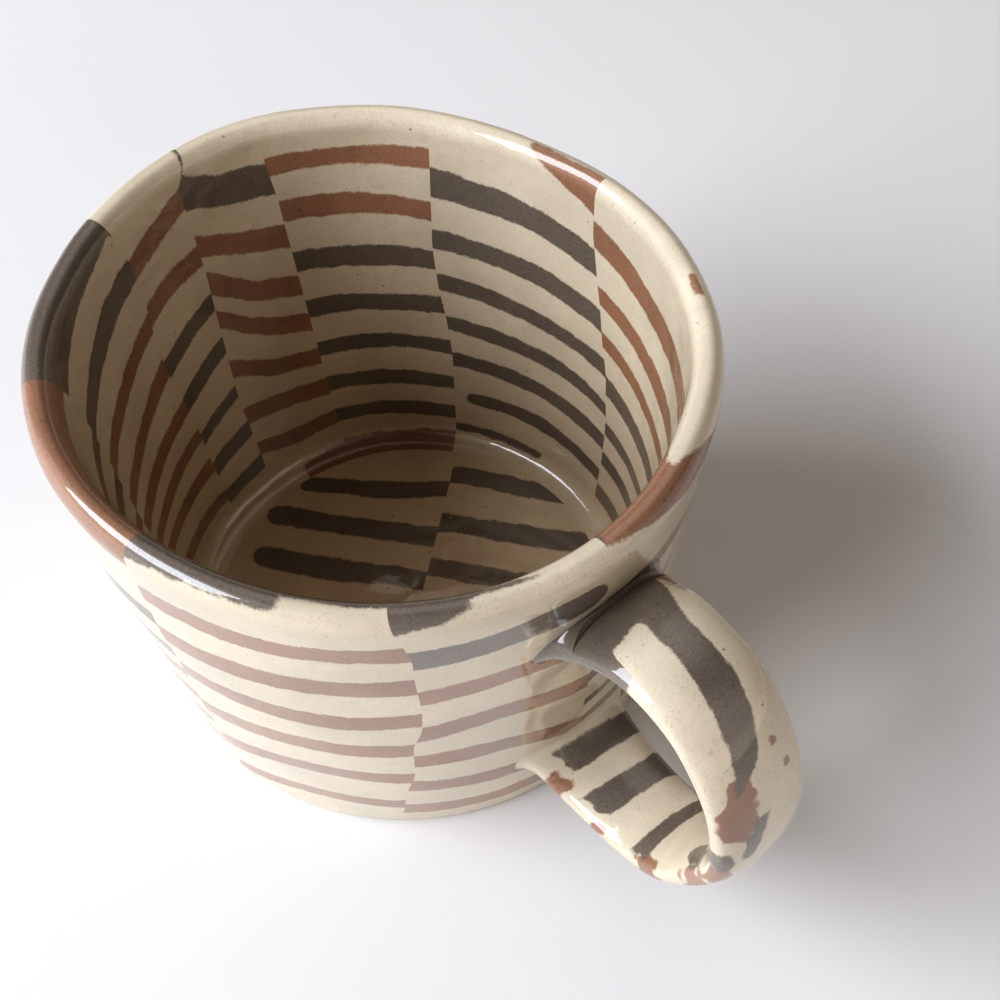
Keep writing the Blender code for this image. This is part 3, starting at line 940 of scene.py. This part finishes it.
class MugGlaze(bpy.types.PropertyGroup):
    """The clear glaze, the clay's surface under it, and the painted shade in the bowl."""
    gloss_roughness: FloatProperty(name="Gloss roughness", default=0.06, min=0, max=1,
                                   description="Roughness of the glassy coat")
    body_roughness: FloatProperty(name="Body roughness", default=0.48, min=0, max=1,
                                  description="Roughness of the clay under the glaze")
    pull: length_setting("Glaze pull", "Depth of the long soft waves in the glaze", 0.10)
    peel: length_setting("Glaze peel", "Depth of the short waves in the glaze", 0.018)
    # Painted shade: how strongly the inside of the bowl is darkened towards its floor.
    bowl_shading: FloatProperty(name="Painted bowl shade", default=0.6, min=0, max=1,
                          description="Painted shade: amber darkening deeper in the bowl")


class MugShape(bpy.types.PropertyGroup):
    """How far the hand-built form is out of true, and its soft edges."""
    spacing: length_setting("Mesh spacing", "Distance between points of the skin", 0.62)
    rim_tilt: FloatProperty(name="Rim tilt", default=0.036,
                            description="Slope of the rim's plane")
    rim_tilt_way: angle_setting("Rim tilt towards", "Side where the rim stands high", -82)
    rim_wave: length_setting("Rim wave", "Height of the rim's three slow waves", 0.87)
    rim_wave_way: angle_setting("Rim wave at", "Place of one crest", 169.4)
    rim_oval: FloatProperty(name="Rim oval", default=0.021,
                            description="Share by which the rim is out of round")
    rim_oval_way: angle_setting("Rim long way", "Way that the rim is longest", 177.6)
    foot_oval: FloatProperty(name="Foot oval", default=0.036,
                             description="Share by which the foot is out of round")
    foot_oval_way: angle_setting("Foot long way", "Way that the foot is longest", 50.2)
    unevenness: length_setting("Unevenness", "Depth of the slow dents in the wall", 0.16)
    lip_height: length_setting("Lip height", "Height over which the lip is rounded", 3.0)
    lip_fullness: FloatProperty(name="Lip fullness", default=2.05,
                                description="2 is a round lip, more is squarer")
    foot_round: length_setting("Foot rounding", "Rounding of the foot's edge", 1.0)
    cove: length_setting("Cove height", "Height of the rounded inside corner", 3.2)
    strap_thickness: length_setting("Strap thickness", "Thickness of the handle", 5.2)
    strap_fullness: FloatProperty(name="Strap fullness", default=2.8,
                                  description="2 is an oval section, more is squarer")
    strap_flare: FloatProperty(name="Strap flare", default=1.18,
                               description="How much wider the strap is at its roots")
    root_fillet: length_setting("Root fillet", "Size of the smoothed clay at the roots", 3.2)


class MugStudio(bpy.types.PropertyGroup):
    """The table, the light and the view."""
    table: colour_setting("Table", "White table top", "#E3E2E0")
    window_power: FloatProperty(name="Window light", default=34.5, min=0, unit="POWER",
                                description="Light from the window on the left")
    room_power: FloatProperty(name="Light room behind the window", default=10.0, min=0,
                              unit="POWER", description="Dimmer light round the window")
    fill: FloatProperty(name="Fill light", default=0.7, min=0,
                        description="Soft light thrown back from the room on the right")
    back: FloatProperty(name="Back wall", default=0.75, min=0,
                        description="Soft light from the wall behind")
    horizon: FloatProperty(name="Pale walls", default=0.55, min=0,
                           description="Soft pale band all round at eye level")
    sky: FloatProperty(name="Room light", default=0.03, min=0,
                       description="Even light from the white room")
    view_turn: angle_setting("View turn", "Way the camera stands, round from the front", 58.7)
    view_out: length_setting("View distance", "Camera's distance from the axis", 114.2)
    view_up: length_setting("View height", "Camera's height over the table", 198.5)
    aim_side: length_setting("Aim aside", "How far right of the axis it aims", 16.0)
    aim_up: length_setting("Aim height", "Height that it aims at", 31.1)
    view_roll: angle_setting("View roll", "Roll about the line of sight", -2.0)
    focal: FloatProperty(name="Focal length", default=45.83, unit="CAMERA",
                         description="Lens on a 36 mm wide sensor")


# ---- operators ------------------------------------------------------------------------


class MUG_OT_wall(bpy.types.Operator):
    """Build the nine striped slabs of the wall"""
    bl_idname = "mug.wall"
    bl_label = "Wall slabs"

    def execute(self, context):
        for i, slab in enumerate(SLABS):
            last = i == len(SLABS) - 1
            build_slab(context.scene, slab, SLABS[(i + 1) % len(SLABS)], last)
        return {"FINISHED"}


class MUG_OT_floor(bpy.types.Operator):
    """Build the two halves of the striped floor"""
    bl_idname = "mug.floor"
    bl_label = "Floor slabs"

    def execute(self, context):
        build_floor_half(context.scene, "floor_slab_left", 1.0)
        build_floor_half(context.scene, "floor_slab_right", -1.0)
        return {"FINISHED"}


class MUG_OT_handle(bpy.types.Operator):
    """Build the strap handle in its three lengths"""
    bl_idname = "mug.handle"
    bl_label = "Handle strap"

    def execute(self, context):
        strap = Strap(context.scene.mug_shape)
        nodes = ("handle_upper_strap", "handle_bend", "handle_lower_strap")
        for node, start, end in zip(nodes, STRAP_CUTS, STRAP_CUTS[1:]):
            build_strap_piece(context.scene, strap, node, start * strap.total,
                              end * strap.total)
        return {"FINISHED"}


class MUG_OT_joints(bpy.types.Operator):
    """Build the luting clay that joins the handle's roots to the wall"""
    bl_idname = "mug.joints"
    bl_label = "Handle joints"

    def execute(self, context):
        strap = Strap(context.scene.mug_shape)
        build_strap_piece(context.scene, strap, "handle_upper_joint", 0.0,
                          STRAP_CUTS[0] * strap.total, "upper")
        build_strap_piece(context.scene, strap, "handle_lower_joint",
                          STRAP_CUTS[-1] * strap.total, strap.total, "lower")
        return {"FINISHED"}


def add_area_light(name, size, power, colour, place, aim):
    light = bpy.data.lights.new(name, "AREA")
    light.shape = "RECTANGLE"
    light.size, light.size_y = size
    light.energy = power
    light.color = colour
    ob = bpy.data.objects.new(name, light)
    ob.location = place
    ob.rotation_euler = (Vector(aim) - Vector(place)).to_track_quat("-Z", "Y").to_euler()
    bpy.context.scene.collection.objects.link(ob)
    return ob


TABLE_RADIUS = 2.5


def facing(right, away, turned, raised):
    """A direction, turned in degrees from the view's right and raised from level."""
    a, e = math.radians(turned), math.radians(raised)
    way = (right * math.cos(a) + away * math.sin(a)) * math.cos(e)
    way.z = math.sin(e)
    return way


def white_table(studio):
    """White melamine table top, matt, with a very faint mottle about 110 mm across.

    The eye sees an even, pale ground that only the shadows tell on.
    """
    material, node = new_material("White melamine, matt")
    where = node("TexCoord").outputs["Object"]
    mottle = node("TexNoise", {"Vector": where, "Scale": 1 / 0.111})
    amount = node("MapRange", {"Value": mottle, "From Min": 0.3, "From Max": 0.7}, **EASED)
    colour = node("Mix", {0: amount, 1: rgba(studio.table, 0.985), 2: rgba(studio.table)},
                  **RGB)
    shader = node("BsdfPrincipled", {
        "Base Color": colour, "Roughness": 0.55, "IOR": 1.5, "Specular IOR Level": 0.3})
    node("OutputMaterial", {"Surface": shader})
    return material


def white_room(studio, right, away):
    """The room's light: even, with two soft bright parts and a pale band at eye level."""
    world = bpy.data.worlds.new("white room")
    world.use_nodes = True
    world.node_tree.nodes.clear()
    node = partial(add_node, world.node_tree)
    where = node("TexCoord").outputs["Generated"]
    glow = 0.0
    for turned, raised, reach, least, most in ((305, 14, 50, studio.sky, studio.fill),
                                               (72, 62, 34, 0.0, studio.back)):
        middle = tuple(facing(right, away, turned, raised))
        toward = node("VectorMath", {0: where, 1: middle}, operation="DOT_PRODUCT")
        lobe = node("MapRange", {"Value": toward, "From Min": math.cos(math.radians(reach)),
                                 "From Max": 1.0, "To Min": least, "To Max": most}, **EASED)
        glow = node("Math", {0: lobe, 1: glow}, operation="ADD")
    level = node("SeparateXYZ", {"Vector": where}).outputs["Z"]
    level = node("Math", {0: level}, operation="ABSOLUTE")
    band = node("MapRange", {"Value": level, "From Min": 0.04, "From Max": 0.22,
                             "To Min": studio.horizon, "To Max": 0.0}, **EASED)
    glow = node("Math", {0: glow, 1: band}, operation="ADD")
    room = node("Background", {"Color": rgba(linear("#FFF1E6")), "Strength": glow})
    node("OutputWorld", {"Surface": room})
    return world


class MUG_OT_stage(bpy.types.Operator):
    """Lay the pale table, light it from a window and set the camera"""
    bl_idname = "mug.stage"
    bl_label = "Table, light and camera"

    def execute(self, context):
        studio = context.scene.mug_studio
        bm = bmesh.new()
        bmesh.ops.create_circle(bm, cap_ends=True, segments=96, radius=TABLE_RADIUS)
        mesh = bpy.data.meshes.new("table")
        bm.to_mesh(mesh)
        bm.free()
        table = bpy.data.objects.new("table", mesh)
        context.scene.collection.objects.link(table)
        table.location.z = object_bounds()[0].z - 0.05 * MM
        mesh.materials.append(white_table(studio))
        table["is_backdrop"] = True

        turn = studio.view_turn
        right = Vector((math.cos(turn), math.sin(turn), 0))
        away = Vector((-math.sin(turn), math.cos(turn), 0))
        context.scene.world = white_room(studio, right, away)
        context.scene.view_settings.view_transform = "Standard"
        context.scene.view_settings.look = "Medium High Contrast"

        aim = Vector((0, 0, 0.04))
        for name, turned, raised, away_by, size, power, colour in (
                ("window", 187, 36, 1.5, (1.35, 0.95), studio.window_power, "#F1F5FF"),
                ("room wall", 190, 30, 1.9, (3.2, 2.6), studio.room_power, "#F4F6FF")):
            way = facing(right, away, turned, raised)
            add_area_light(name, size, power, linear(colour), aim + way * away_by, aim)

        camera = bpy.data.cameras.new("camera")
        camera.sensor_width = 36.0
        camera.lens = studio.focal
        camera.clip_start = 0.005
        ob = bpy.data.objects.new("camera", camera)
        context.scene.collection.objects.link(ob)
        place = -away * studio.view_out + Vector((0, 0, studio.view_up))
        aim = right * studio.aim_side + Vector((0, 0, studio.aim_up))
        look = (aim - place).normalized()
        flat = look.cross(Vector((0, 0, 1))).normalized()
        top = flat.cross(look)
        roll = studio.view_roll
        side = flat * math.cos(roll) + top * math.sin(roll)
        head = top * math.cos(roll) - flat * math.sin(roll)
        turned = Matrix((side, head, -look)).transposed().to_4x4()
        ob.matrix_world = Matrix.Translation(place) @ turned
        context.scene.camera = ob
        return {"FINISHED"}


class MUG_PT_sidebar(bpy.types.Panel):
    """Sizes, colours and build steps of the mug"""
    bl_idname = "MUG_PT_sidebar"
    bl_label = "Striped Clay Mug"
    bl_space_type = "VIEW_3D"
    bl_region_type = "UI"
    bl_category = "Mug"

    def draw(self, context):
        layout = self.layout
        scene = context.scene
        for group in (scene.mug_clays, scene.mug_glaze, scene.mug_shape, scene.mug_studio):
            box = layout.box()
            for key in group.bl_rna.properties.keys():
                if key not in ("rna_type", "name"):
                    box.prop(group, key)
        for operator in OPERATORS:
            layout.operator(operator.bl_idname)


OPERATORS = (MUG_OT_wall, MUG_OT_floor, MUG_OT_handle, MUG_OT_joints, MUG_OT_stage)
SETTINGS = {"mug_clays": MugClays, "mug_glaze": MugGlaze, "mug_shape": MugShape,
            "mug_studio": MugStudio}


def register():
    for cls in (*SETTINGS.values(), *OPERATORS, MUG_PT_sidebar):
        bpy.utils.register_class(cls)
    for name, group in SETTINGS.items():
        setattr(bpy.types.Scene, name, PointerProperty(type=group))


def unregister():
    for name in SETTINGS:
        delattr(bpy.types.Scene, name)
    for cls in (MUG_PT_sidebar, *reversed(OPERATORS), *reversed(tuple(SETTINGS.values()))):
        bpy.utils.unregister_class(cls)


def main():
    register()
    bpy.ops.mug.wall()
    bpy.ops.mug.floor()
    bpy.ops.mug.handle()
    bpy.ops.mug.joints()
    bpy.ops.mug.stage()


if __name__ == "__main__":
    main()
